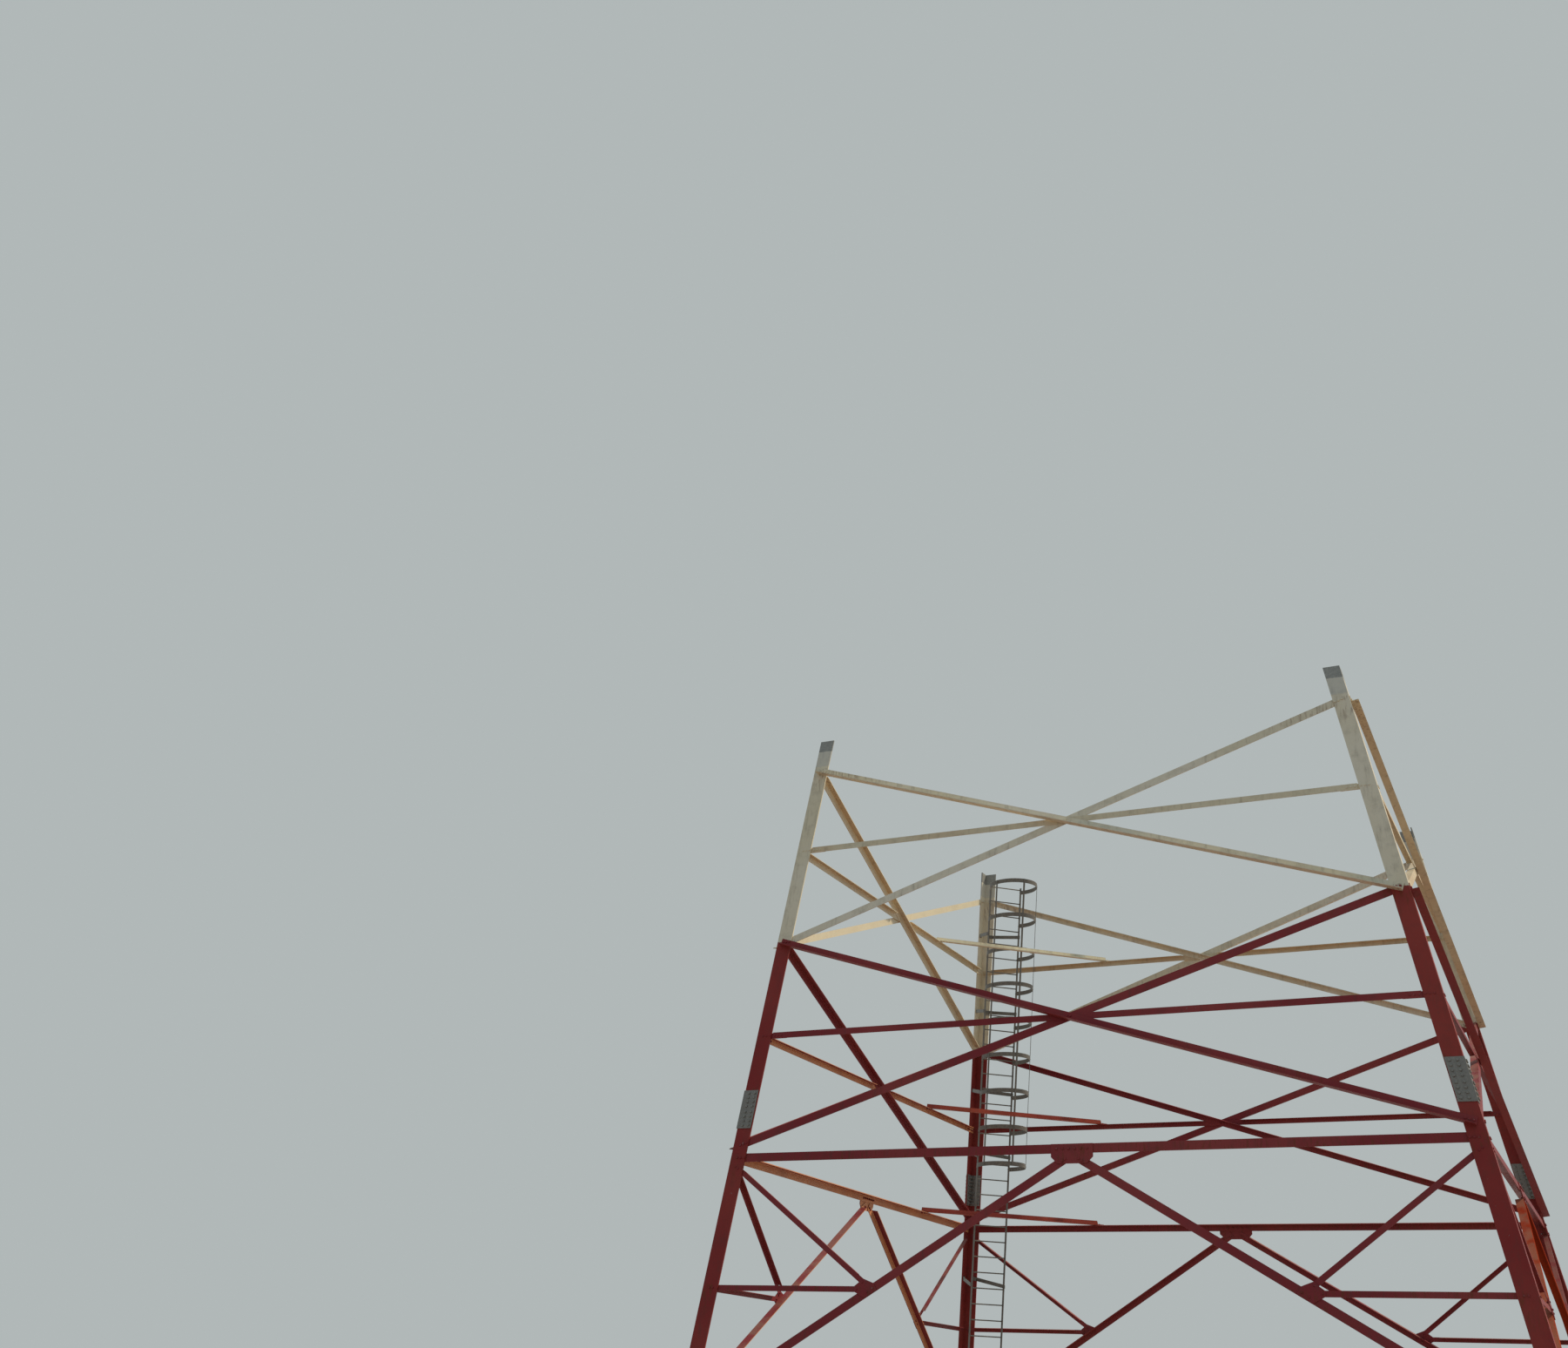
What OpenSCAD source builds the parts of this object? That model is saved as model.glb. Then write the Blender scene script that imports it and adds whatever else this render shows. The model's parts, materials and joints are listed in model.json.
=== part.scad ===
// Lower section of a square, four-legged lattice radio mast, open at its top.
// Every side leans in by the same amount, so all side framing is drawn flat
// and then stood up on its own leaning face. Millimetres, +Z up, ground at 0.

/* [Tower outline] */
// Width of one side at the ground, between the outer corners of the legs
base_w = 12230; // [11000:10:13500]
// How far each side leans in, in mm for each metre of height
lean = 145; // [110:1:170]
// Height from the ground to the main ties
foot_panel_h = 3950; // [3600:10:4400]
// Height of the lower crossed panel
lower_panel_h = 3520; // [3000:10:4000]
// Height of the upper crossed panel
upper_panel_h = 3170; // [2800:10:3600]
// Height of the bare leg ends above the upper panel
stub_h = 600; // [400:10:900]

/* [Legs] */
// Flange width of the leg angle
leg_b = 250; // [220:5:300]
// Flange thickness of the leg angle
leg_t = 24; // [16:1:30]
// Height of the leg joint above the main ties
splice_rise = 750; // [720:10:1000]
// Length of the cover angles at the leg joint
splice_len = 600; // [400:10:660]
// Thickness of the cover angles
cover_t = 12; // [8:1:16]
// Side of the square base plate
plate_w = 620; // [560:10:760]
// Thickness of the base plate
plate_t = 40; // [25:1:60]
// Spacing of the anchor holes, both ways
anchor_space = 460; // [420:5:500]
// Radius of the anchor holes
anchor_r = 21; // [15:0.5:26]

/* [Bracing] */
// Flange width of the crossed braces and the foot braces
brace_b = 120; // [100:5:160]
// Flange thickness of the braces
brace_t = 12; // [8:1:16]
// Flange width of the main ties
main_b = 130; // [120:5:180]
// Flange thickness of the main ties
main_t = 14; // [10:1:18]
// Flange width of the light ties
tie_b = 100; // [70:5:120]
// Flange width of the foot struts
strut_b = 80; // [60:5:100]
// Flange thickness of the light ties and the foot struts
tie_t = 8; // [6:1:12]
// Height of the lower brace ends above the main ties
brace_rise = 200; // [190:5:260]
// Depth of the foot brace crossing point under the main ties
work_drop = 85; // [80:1:120]
// Height of the foot brace ends above the ground
foot_rise = 280; // [250:5:400]
// Distance from the main ties down to the foot struts
strut_drop = 1920; // [1600:10:2300]
// Length of a brace past the middle of the leg flange
lap = 50; // [35:1:60]
// Thickness of the gusset plates
gusset_t = 12; // [8:1:14]
// Width of the main gussets
gusset_w = 620; // [560:10:900]
// Height of the main gussets
gusset_h = 280; // [250:10:420]
// Length of a foot strut on its small gusset
strut_seat = 75; // [60:5:120]
// Clearance between the ladder cage and the corner ties
corner_gap = 20; // [10:5:100]
// Flange width of the corner ties
corner_b = 90; // [70:5:100]

/* [Ladder] */
// Distance from the leg corner in to the ladder
ladder_in = 1050; // [850:10:1150]
// Width of the ladder between its rails
ladder_w = 700; // [400:10:760]
// Depth of a rail
rail_d = 60; // [50:1:80]
// Thickness of a rail
rail_t = 12; // [8:1:16]
// Height of the stand-off brackets' strip
bracket_b = 70; // [50:5:90]
// Thickness of the stand-off brackets' strip
bracket_t = 10; // [6:1:12]
// Length of a bracket's foot on the leg flange
bracket_foot = 110; // [80:5:140]
// Spacing of the rungs
rung_step = 300; // [250:5:330]
// Radius of a rung
rung_r = 12; // [8:1:16]
// Height of the ladder's lower end
ladder_low = 260; // [200:10:500]
// Distance from the ladder's top to the top of the mast
ladder_short = 500; // [200:10:800]
// Radius of the cage hoops, to their inner face
hoop_r = 490; // [440:5:500]
// Width of the hoop strip
hoop_b = 80; // [40:1:100]
// Thickness of the hoop strip
hoop_t = 8; // [5:1:10]
// Spacing of the hoops
hoop_step = 700; // [550:10:900]
// Height of the lowest hoop
hoop_low = 5000; // [2400:10:5400]
// Width of the upright cage straps
strap_b = 40; // [30:1:60]
// Thickness of the upright cage straps
strap_t = 6; // [4:1:8]

/* [Hidden] */
$fn = 48;

// Levels of the framing above the ground
main_z = foot_panel_h;
mid_z = main_z + lower_panel_h;
high_z = mid_z + upper_panel_h;
top_z = high_z + stub_h;
splice_z = main_z + splice_rise;
strut_z = main_z - strut_drop;

// Slope of the sides, and of the corners within a side
slope = lean / 1000;
tilt = atan(slope);
corner_tilt = atan(sin(tilt));
ladder_tilt = atan(slope * sqrt(2));

// Clearances
edge_gap = 12;
flush = 0.3;
past = 600;

// Distance up the leaning side of a level z
function up(z) = z / cos(tilt);
// Half the side's width, a distance v up the side
function half(v) = base_w / 2 - sin(tilt) * v;
// Half the side's width at a level z
function half_at(z) = base_w / 2 - slope * z;
// Point on the middle line of the leg flange at level z, on the left (-1) or right (1)
function seat(z, s) = [s * (half(up(z)) - leg_b / 2 / cos(corner_tilt)), up(z)];
// Point a distance d from p on the way to q
function toward(p, q, d) = p + (q - p) * d / norm(q - p);
// Distance up the side at which two mirrored braces cross
function cross_v(z0, z1) = up(z0) + (up(z1) - up(z0)) * seat(z0, 1)[0] / (seat(z0, 1)[0] + seat(z1, 1)[0]);
// Slope of a brace between two levels
function brace_tan(z0, z1) = (up(z1) - up(z0)) / (seat(z0, 1)[0] + seat(z1, 1)[0]);

// Stands children up on side i: X along the side, Y into the mast, Z up the slope
module side(i) {
  rotate([0, 0, 90 * i]) translate([0, -base_w / 2, 0]) rotate([-tilt, 0, 0]) children();
}

// Stands children at leg i, upright: Y points to the mast's middle
module corner(i) {
  rotate([0, 0, 90 * i]) translate([-base_w / 2, -base_w / 2, 0]) rotate([0, 0, -45]) children();
}

// The same, leaning with the leg, so that Z follows the leg's corner
module leaning_corner(i) {
  corner(i) rotate([-ladder_tilt, 0, 0]) children();
}

// Angle profile: one flange flat on the side, the other square to it at the upper edge,
// with a root fillet of the flange's thickness between them
module angle_profile(b, t) {
  translate([0, -b / 2]) square([t, b]);
  translate([0, b / 2 - t]) square([b, t]);
  translate([t, b / 2 - 2 * t]) difference() {
    square(t);
    translate([t, 0]) circle(t);
  }
}

// Angle bar from p to q in the side's plane, its flat flange at the given depth.
// The standing flange points in and is cut back by cope at both ends.
module inner_bar(p, q, b, t, depth, cope) {
  length = norm(q - p);
  turn = atan2(q[1] - p[1], q[0] - p[0]);
  translate([p[0], depth, p[1]]) rotate([0, -turn, 0]) difference() {
    rotate([90, 0, 90]) linear_extrude(length) angle_profile(b, t);
    for (x = [-1, length - cope])
      translate([x, t, -b]) cube([cope + 1, b, 2 * b]);
  }
}

// Angle bar on the outer face of the legs, its standing flange pointing out along the lower edge
module outer_bar(p, q, b, t) {
  length = norm(q - p);
  turn = atan2(q[1] - p[1], q[0] - p[0]);
  translate([p[0], 0, p[1]]) rotate([0, -turn, 0]) rotate([90, 0, 90])
    linear_extrude(length) rotate(180) angle_profile(b, t);
}

// How far a standing flange is cut back where its bar lies on a leg
leg_cope = leg_b / 2 + lap + edge_gap;

// Strip along the left leg of a side: flange from e0 to e1 off the corner, depth d0 to d1
module leg_strip(e0, e1, d0, d1, hand) {
  low = -past;
  high = up(top_z) + past;
  f = 1 / cos(corner_tilt);
  mirror([hand, 0, 0]) translate([0, d1, 0]) rotate([90, 0, 0]) linear_extrude(d1 - d0)
    polygon([[e0 * f - half(low), low], [e1 * f - half(low), low],
             [e1 * f - half(high), high], [e0 * f - half(high), high]]);
}

// What lies between the levels z0 and z1
module level_slice(z0, z1) {
  intersection() {
    union() children();
    translate([-base_w, -base_w, z0]) cube([2 * base_w, 2 * base_w, z1 - z0]);
  }
}

// Angle that follows leg i from level z0 to z1, made of a strip on each side
module leg_angle(i, z0, z1, e0, e1, d0, d1) {
  level_slice(z0, z1) {
    side(i) leg_strip(e0, e1, d0, d1, 0);
    side(i - 1) leg_strip(e0, e1, d0, d1, 1);
  }
}

module lower_leg(i) {
  color("firebrick") leg_angle(i, plate_t, splice_z, 0, leg_b, 0, leg_t);
}

module upper_leg(i) {
  color("gainsboro") leg_angle(i, splice_z, top_z, 0, leg_b, 0, leg_t);
}

// Cover angles bolted over the outside and the inside of each leg joint
module leg_splices() {
  low = splice_z - splice_len / 2;
  high = splice_z + splice_len / 2;
  color("darkgray") for (i = [0:3]) {
    leg_angle(i, low, high, -cover_t, leg_b - edge_gap, -cover_t, 0);
    leg_angle(i, low, high, leg_t + 1, leg_b - edge_gap, leg_t, leg_t + cover_t);
  }
}

// Square plate under a leg, centred on the leg angle
module base_plate(i) {
  middle = half_at(plate_t) - leg_b / 2;
  color("darkgray") rotate([0, 0, 90 * i]) translate([-middle, -middle, 0]) difference() {
    translate([-plate_w / 2, -plate_w / 2, 0]) cube([plate_w, plate_w, plate_t]);
    for (x = [-1, 1], y = [-1, 1])
      translate([x * anchor_space / 2, y * anchor_space / 2, -1]) cylinder(r = anchor_r, h = plate_t + 2);
  }
}

// Crossed pair between two levels: the falling brace outside, the rising one inside
module crossed_braces(i, z0, z1) {
  side(i) {
    fall = [seat(z1, -1), seat(z0, 1)];
    rise = [seat(z0, -1), seat(z1, 1)];
    outer_bar(toward(fall[0], fall[1], -lap), toward(fall[1], fall[0], -lap), brace_b, brace_t);
    inner_bar(toward(rise[0], rise[1], -lap), toward(rise[1], rise[0], -lap),
              brace_b, brace_t, leg_t, leg_cope);
  }
}

module upper_braces(i) {
  color("wheat") crossed_braces(i, mid_z, high_z);
}

module lower_braces(i) {
  color("firebrick") crossed_braces(i, main_z + brace_rise, mid_z);
}

// Light tie threaded between the crossed braces of one side. Its standing flange is
// notched over the inner brace, and its end plates lie on the inner face of the legs.
module threaded_tie(z0, z1) {
  v = cross_v(z0, z1);
  reach = half(v) - leg_b / cos(corner_tilt) - 2 * edge_gap;
  seat_end = half(v) - (leg_b / 2 - lap) / cos(corner_tilt);
  notch = (brace_b / 2 / cos(atan(brace_tan(z0, z1))) + tie_b / 2 + edge_gap) / brace_tan(z0, z1);
  difference() {
    inner_bar([-reach, v], [reach, v], tie_b, tie_t, leg_t - tie_t, 0);
    translate([-notch, leg_t, v - tie_b]) cube([2 * notch, tie_b, 2 * tie_b]);
  }
  for (s = [0, 1]) mirror([s, 0, 0])
    translate([reach - leg_b, leg_t, v - tie_b / 2])
      cube([seat_end - reach + leg_b, gusset_t, tie_b - tie_t]);
  translate([-tie_b / 2, 0, v - tie_b / 2]) cube([tie_b, leg_t, tie_b]);
}

module upper_ties() {
  color("wheat") for (i = [0:3]) side(i) threaded_tie(mid_z, high_z);
}

module lower_ties() {
  color("firebrick") for (i = [0:3]) side(i) threaded_tie(main_z + brace_rise, mid_z);
}

module main_tie(i) {
  color("firebrick") side(i) {
    l = seat(main_z, -1) - [lap, 0];
    r = seat(main_z, 1) + [lap, 0];
    inner_bar(l, r, main_b, main_t, leg_t, leg_cope);
  }
}

// Plate over the middle of each main tie, which the two foot braces hang from
module main_gussets() {
  top = up(main_z) + main_b / 2;
  clip = gusset_h / 3;
  color("firebrick") for (i = [0:3]) side(i)
    translate([0, leg_t, 0]) rotate([90, 0, 0]) linear_extrude(gusset_t)
      polygon([[-gusset_w / 2, top], [gusset_w / 2, top], [gusset_w / 2, top - gusset_h + clip],
               [gusset_w / 2 - clip, top - gusset_h], [clip - gusset_w / 2, top - gusset_h],
               [-gusset_w / 2, top - gusset_h + clip]]);
}

// Work point of the foot braces, and the point on the right one that the struts meet
work_point = [0, up(main_z) - work_drop];
foot_point = seat(foot_rise, 1);
foot_tan = (work_point[1] - foot_point[1]) / foot_point[0];
strut_point = [(work_point[1] - up(strut_z)) / foot_tan, up(strut_z)];
foot_angle = atan(foot_tan);
// Upper end of a strut on the leg, clear under the main tie
strut_top = seat(main_z - main_b / 2 - strut_b, 1);
strut_angle = atan2(strut_top[1] - strut_point[1], strut_top[0] - strut_point[0]);

module foot_braces(i) {
  clear = (brace_b / 2 * cos(foot_angle) + edge_gap + main_b / 2 - work_drop) / sin(foot_angle);
  color("firebrick") side(i) for (s = [0, 1]) mirror([s, 0, 0])
    inner_bar(toward(work_point, foot_point, clear), toward(foot_point, work_point, -lap),
              brace_b, brace_t, leg_t, leg_cope);
}

// Where two bars of half widths h0 and h1 part, at the angle a between them
function part_at(h0, h1, a) = (h0 + h1 * cos(a)) / sin(a) + edge_gap;

// Where the level strut and the raking strut start, measured from the strut point
level_start = part_at(brace_b / 2, strut_b / 2, foot_angle);
rake_start = max(part_at(strut_b / 2, strut_b / 2, strut_angle),
                 part_at(brace_b / 2, strut_b / 2, foot_angle + strut_angle));

// A level strut and a raking strut on each half of a side
module foot_struts(i) {
  color("firebrick") side(i) for (s = [0, 1]) mirror([s, 0, 0]) {
    inner_bar(strut_point + [level_start, 0], seat(strut_z, 1) + [lap, 0], strut_b, tie_t, leg_t, leg_cope);
    inner_bar(toward(strut_point, strut_top, rake_start), toward(strut_top, strut_point, -lap),
              strut_b, tie_t, leg_t, leg_cope);
  }
}

// Point at a distance a along the direction of angle turn, and d to its left
function polar(turn, a, d) = [a * cos(turn) - d * sin(turn), a * sin(turn) + d * cos(turn)];

// Small plates that join the struts to the foot braces, on the outer face of the bars
module strut_gussets() {
  edge = edge_gap / 2;
  brace_edge = brace_b / 2 - edge;
  strut_edge = strut_b / 2 - edge;
  level_end = level_start + strut_seat;
  rake_end = rake_start + strut_seat;
  color("firebrick") for (i = [0:3]) side(i) for (s = [0, 1]) mirror([s, 0, 0])
    translate([strut_point[0], leg_t, strut_point[1]]) rotate([90, 0, 0]) linear_extrude(gusset_t)
      polygon([polar(-foot_angle, -strut_seat, -brace_edge), polar(-foot_angle, 2 * strut_seat, -brace_edge),
               [level_end, -strut_edge], [level_end, strut_edge],
               polar(strut_angle, rake_end, -strut_edge), polar(strut_angle, rake_end, strut_edge),
               polar(-foot_angle, -strut_seat, brace_edge)]);
}

// Angle laid across a corner in front of the cage, seated on the standing flanges of
// the ties of both sides
module corner_tie(i, v, b, b_tie, depth) {
  seat_v = v + b_tie / 2;
  low = seat_v * cos(tilt) - (depth + b_tie / 2) * sin(tilt);
  inset = cage_front / cos(ladder_tilt) + corner_gap;
  difference() {
    corner(i) translate([-inset - b, inset + slope * sqrt(2) * (low + b), low])
      rotate([90, 0, 90]) linear_extrude(2 * (inset + b))
        polygon([[0, 0], [b, 0], [b, tie_t * 2], [tie_t, tie_t * 2], [tie_t, b], [0, b]]);
    side(i) translate([-base_w, -past, 0]) cube([2 * base_w, past + depth, 2 * top_z]);
    side(i - 1) translate([-base_w, -past, 0]) cube([2 * base_w, past + depth, 2 * top_z]);
    for (j = [i, i - 1]) side(j)
      translate([-base_w, -past, seat_v - past]) cube([2 * base_w, past + depth + b_tie, past]);
  }
}

module corner_ties() {
  color("wheat") corner_tie(3, cross_v(mid_z, high_z), corner_b, tie_b, leg_t - tie_t);
  color("firebrick") corner_tie(3, cross_v(main_z + brace_rise, mid_z), corner_b, tie_b, leg_t - tie_t);
  color("firebrick") corner_tie(3, up(main_z), corner_b, main_b, leg_t);
}

// Lengths along the leaning leg: of a level at the leg, and of a level at the ladder
function along(z) = z / cos(ladder_tilt);
function on_ladder(z) = along(z) + ladder_in * tan(ladder_tilt);
ladder_start = on_ladder(ladder_low);
ladder_end = on_ladder(top_z - ladder_short);
hoop_levels = [for (z = [hoop_low : hoop_step : top_z - ladder_short - hoop_b]) z];
rail_x = ladder_w / 2 + rail_t;
hoop_in = ladder_in + rail_d / 2 + sqrt(pow(hoop_r, 2) - pow(rail_x, 2));
cage_front = hoop_in + hoop_r + hoop_t + flush + strap_t;

module ladder() {
  color("darkgray") leaning_corner(3) {
    for (s = [-1, 1])
      translate([s * (rail_x - rail_t / 2) - rail_t / 2, ladder_in - rail_d / 2, ladder_start])
        cube([rail_t, rail_d, ladder_end - ladder_start]);
    for (z = [ladder_start + rung_step / 2 : rung_step : ladder_end - rung_r])
      translate([-rail_x + rail_t / 2, ladder_in, z]) rotate([0, 90, 0])
        cylinder(r = rung_r, h = 2 * rail_x - rail_t, $fn = 24);
  }
}

// Half the angle between a leg's two flanges, which lean with their sides
flange_turn = acos(-pow(sin(tilt), 2)) / 2;
// Point a distance s from the leg's corner, just off the inner face of its right flange
function on_flange(s) = s * [sin(flange_turn), cos(flange_turn)]
  + (leg_t + flush) * [-cos(flange_turn), sin(flange_turn)];
// Unit vector to the left of d, and the mitred corner at b of a line offset to its left
function left(d) = [-d[1], d[0]] / norm(d);
function mitre(a, b, c, t) = b + t * (left(b - a) + left(c - b)) / (1 + left(b - a) * left(c - b));

// Bracket levels, each midway between two neighbours in the framing
bracket_levels = [
  (foot_rise + strut_z) / 2,
  (strut_z + main_z) / 2,
  (splice_z + splice_len / 2 + cross_v(main_z + brace_rise, mid_z) * cos(tilt)) / 2,
  (cross_v(main_z + brace_rise, mid_z) * cos(tilt) + mid_z) / 2,
  (mid_z + cross_v(mid_z, high_z) * cos(tilt)) / 2,
  (cross_v(mid_z, high_z) * cos(tilt) + high_z) / 2
];

// Bent strips that stand the rails off the leg: a foot on the inner face of the flange,
// an arm, and an end that laps the rail's outer face
module ladder_brackets() {
  foot = on_flange(leg_b - bracket_foot);
  heel = on_flange(leg_b - edge_gap);
  wrist = [rail_x + bracket_t, ladder_in - rail_d];
  end = [rail_x + bracket_t, ladder_in + rail_d / 2];
  color("darkgray") leaning_corner(3) for (z = bracket_levels, s = [0, 1])
    translate([0, 0, along(z)]) mirror([s, 0, 0]) linear_extrude(bracket_b)
      polygon([foot, heel, wrist, end, end - [bracket_t, 0], mitre(heel, wrist, end, bracket_t),
               mitre(foot, heel, wrist, bracket_t), foot + bracket_t * left(heel - foot)]);
}

// Open hoops of flat strip, which end on the outer faces of the rails. Each is a level
// slice of one tube that leans with the ladder, so that the straps lie flat on it.
module cage_hoops() {
  tube_end = along(top_z) + past;
  color("darkgray") for (z = hoop_levels) level_slice(z, z + hoop_b)
    leaning_corner(3) translate([0, hoop_in, 0]) difference() {
      cylinder(r = hoop_r + hoop_t, h = tube_end, $fn = 96);
      translate([0, 0, -1]) cylinder(r = hoop_r, h = tube_end + 2, $fn = 96);
      translate([-hoop_r * 2, ladder_in + rail_d / 2 - hoop_in - hoop_r * 2, -1])
        cube([hoop_r * 4, hoop_r * 2, tube_end + 2]);
    }
}

// Upright straps that lie on the outside of the hoops, from the lowest to the highest
module cage_straps() {
  color("darkgray") for (turn = [-70, 0, 70])
    level_slice(hoop_low, max(hoop_levels) + hoop_b)
      leaning_corner(3) translate([0, hoop_in, 0]) rotate([0, 0, turn])
        translate([-strap_b / 2, hoop_r + hoop_t + flush, 0]) cube([strap_b, strap_t, along(top_z) + past]);
}

lower_leg(0);  // lower_leg_front_left
lower_leg(1);  // lower_leg_front_right
lower_leg(2);  // lower_leg_back_right
lower_leg(3);  // lower_leg_back_left
upper_leg(0);  // upper_leg_front_left
upper_leg(1);  // upper_leg_front_right
upper_leg(2);  // upper_leg_back_right
upper_leg(3);  // upper_leg_back_left
base_plate(0);  // base_plate_front_left
base_plate(1);  // base_plate_front_right
base_plate(2);  // base_plate_back_right
base_plate(3);  // base_plate_back_left
leg_splices();
upper_braces(0);  // front_upper_braces
upper_braces(1);  // right_upper_braces
upper_braces(2);  // back_upper_braces
upper_braces(3);  // left_upper_braces
lower_braces(0);  // front_lower_braces
lower_braces(1);  // right_lower_braces
lower_braces(2);  // back_lower_braces
lower_braces(3);  // left_lower_braces
main_tie(0);  // front_main_tie
main_tie(1);  // right_main_tie
main_tie(2);  // back_main_tie
main_tie(3);  // left_main_tie
foot_braces(0);  // front_foot_braces
foot_braces(1);  // right_foot_braces
foot_braces(2);  // back_foot_braces
foot_braces(3);  // left_foot_braces
foot_struts(0);  // front_foot_struts
foot_struts(1);  // right_foot_struts
foot_struts(2);  // back_foot_struts
foot_struts(3);  // left_foot_struts
upper_ties();
lower_ties();
main_gussets();
strut_gussets();
corner_ties();
ladder();
ladder_brackets();
cage_hoops();
cage_straps();
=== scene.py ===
"""Looks of the radio mast's lower section: paint, zinc, fasteners, welds, floor, light and camera."""
import json
import math
import random

import bmesh
import bpy
from mathutils import Matrix, Vector


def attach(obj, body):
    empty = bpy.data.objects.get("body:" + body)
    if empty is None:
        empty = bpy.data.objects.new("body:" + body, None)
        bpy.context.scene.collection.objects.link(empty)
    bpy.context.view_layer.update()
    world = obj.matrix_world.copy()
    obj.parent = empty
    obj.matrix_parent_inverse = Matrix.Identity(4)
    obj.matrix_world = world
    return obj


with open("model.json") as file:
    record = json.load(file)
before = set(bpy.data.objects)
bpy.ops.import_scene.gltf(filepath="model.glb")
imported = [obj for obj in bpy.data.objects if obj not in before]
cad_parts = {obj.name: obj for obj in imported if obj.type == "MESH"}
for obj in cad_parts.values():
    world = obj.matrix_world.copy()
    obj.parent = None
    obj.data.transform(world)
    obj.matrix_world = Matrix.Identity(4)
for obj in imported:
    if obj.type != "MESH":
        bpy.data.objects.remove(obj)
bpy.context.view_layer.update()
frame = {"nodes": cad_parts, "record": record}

bpy.ops.object.select_all(action="DESELECT")
SEED = 11
chance = random.Random(SEED)

# The photograph's frame and the camera that it was taken with, in pixels and metres
PHOTO_W = 1801
PHOTO_H = 1548
FOCAL_PX = 1880
AXIS_X_PX = 800
AXIS_Y_PX = 648
SENSOR_MM = 36
CLIP_END = 500
CAMERA_PLACE = Vector((7.092, -30.083, 0.447))
CAMERA_AHEAD = Vector((-0.4353, 0.7766, 0.4554))
CAMERA_UP = Vector((0.1831, -0.4188, 0.8894))

# Light from a warm key and a cool, even sky, and the floor's size
KEY_FROM = Vector((0.545, 0.41, 0.73))
KEY_STRENGTH = 2.9
KEY_SPREAD = math.radians(6)
KEY_COLOUR = (1.0, 0.86, 0.68)
SKY_COLOUR = (0.68, 0.86, 1.0)
SKY_STRENGTH = 0.52
FLOOR_R = 160
FLOOR_Z = -0.002
FLOOR_SIDES = 96

# The mast's own sizes, as its CAD pieces have them, in metres
BASE_W = 12.230
LEAN = 0.145
MAIN_Z = 3.950
MID_Z = 7.470
HIGH_Z = 10.640
TOP_Z = 11.240
SPLICE_Z = 4.700
BRACE_Z = MAIN_Z + 0.200
FOOT_Z = 0.280
STRUT_Z = MAIN_Z - 1.920
LEG_B = 0.250
LEG_T = 0.024
BARE_END = 0.200
COVER_T = 0.012
SPLICE_LEN = 0.600
BRACE_B = 0.120
BRACE_T = 0.012
MAIN_B = 0.130
MAIN_T = 0.014
TIE_B = 0.100
TIE_T = 0.008
STRUT_B = 0.080
GUSSET_T = 0.012
WORK_DROP = 0.085
EDGE_GAP = 0.012
PLATE_T = 0.040
ANCHOR_SPACE = 0.460
CORNER_B = 0.090
CORNER_SEAT_T = 2 * TIE_T
CORNER_GAP = 0.020
LADDER_IN = 1.050
LADDER_W = 0.700
RAIL_D = 0.060
RAIL_T = 0.012
RUNG_R = 0.012
RUNG_STEP = 0.300
LADDER_LOW = 0.260
LADDER_SHORT = 0.500
BRACKET_B = 0.070
BRACKET_T = 0.010
HOOP_R = 0.490
HOOP_T = 0.008
HOOP_B = 0.080
HOOP_STEP = 0.700
HOOP_LOW = 5.000
STRAP_T = 0.006
FLUSH = 0.0003

# The leg that the ladder stands at, and the turns of the cage's straps round the cage, in degrees
LADDER_CORNER = 3
STRAP_TURNS = (-70, 0, 70)

# Lean of the sides, of the corners within a side and of the corners in space, and derived sizes
TILT = math.atan(LEAN)
CORNER_TILT = math.atan(math.sin(TILT))
LADDER_TILT = math.atan(LEAN * math.sqrt(2))
RAIL_X = LADDER_W / 2 + RAIL_T
HOOP_IN = LADDER_IN + RAIL_D / 2 + math.sqrt(HOOP_R ** 2 - RAIL_X ** 2)
STRAP_R = HOOP_R + HOOP_T + FLUSH + STRAP_T

# Bolts by the diameter of their thread
M10 = 0.010
M12 = 0.012
M16 = 0.016
M20 = 0.020
M24 = 0.024

# Heads and nuts for a 20 mm thread: radii, and heights above the plate that they stand on
WASHER_R = 0.0185
WASHER_T = 0.003
HEX_R = 0.0173
HEAD_TOP = 0.0143
NUT_TOP = 0.0178
THREAD_R = 0.0100
THREAD_TOP = 0.0265

# Anchor bolts for a 36 mm thread, measured in the same way
ANCHOR_WASHER_R = 0.036
ANCHOR_WASHER_T = 0.006
STUD_R = 0.018
STUD_TOP = 0.118
ANCHOR_NUT_R = 0.0318
ANCHOR_NUTS = ((0.007, 0.034), (0.038, 0.056))

# Sides of the prisms that fasteners are made of
HEX_SIDES = 6
WASHER_SIDES = 12
THREAD_SIDES = 8
ANCHOR_WASHER_SIDES = 24
STUD_SIDES = 16

# Chamfers: how much higher the face gets, and the share of its width that is left
HEX_CHAMFER = (0.0012, 0.86)
THREAD_CHAMFER = (0.0015, 0.82)
ANCHOR_CHAMFER = (0.002, 0.88)
WASHER_CHAMFER = (0.001, 0.97)

# Faces are picked by how far they look along an axis, and a top also by its level
TOP_FACES = 0.9
RIPPLE_FRONT = 0.6
WELD_TOP = 0.4
LEVEL_SLACK = 1e-5

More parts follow.
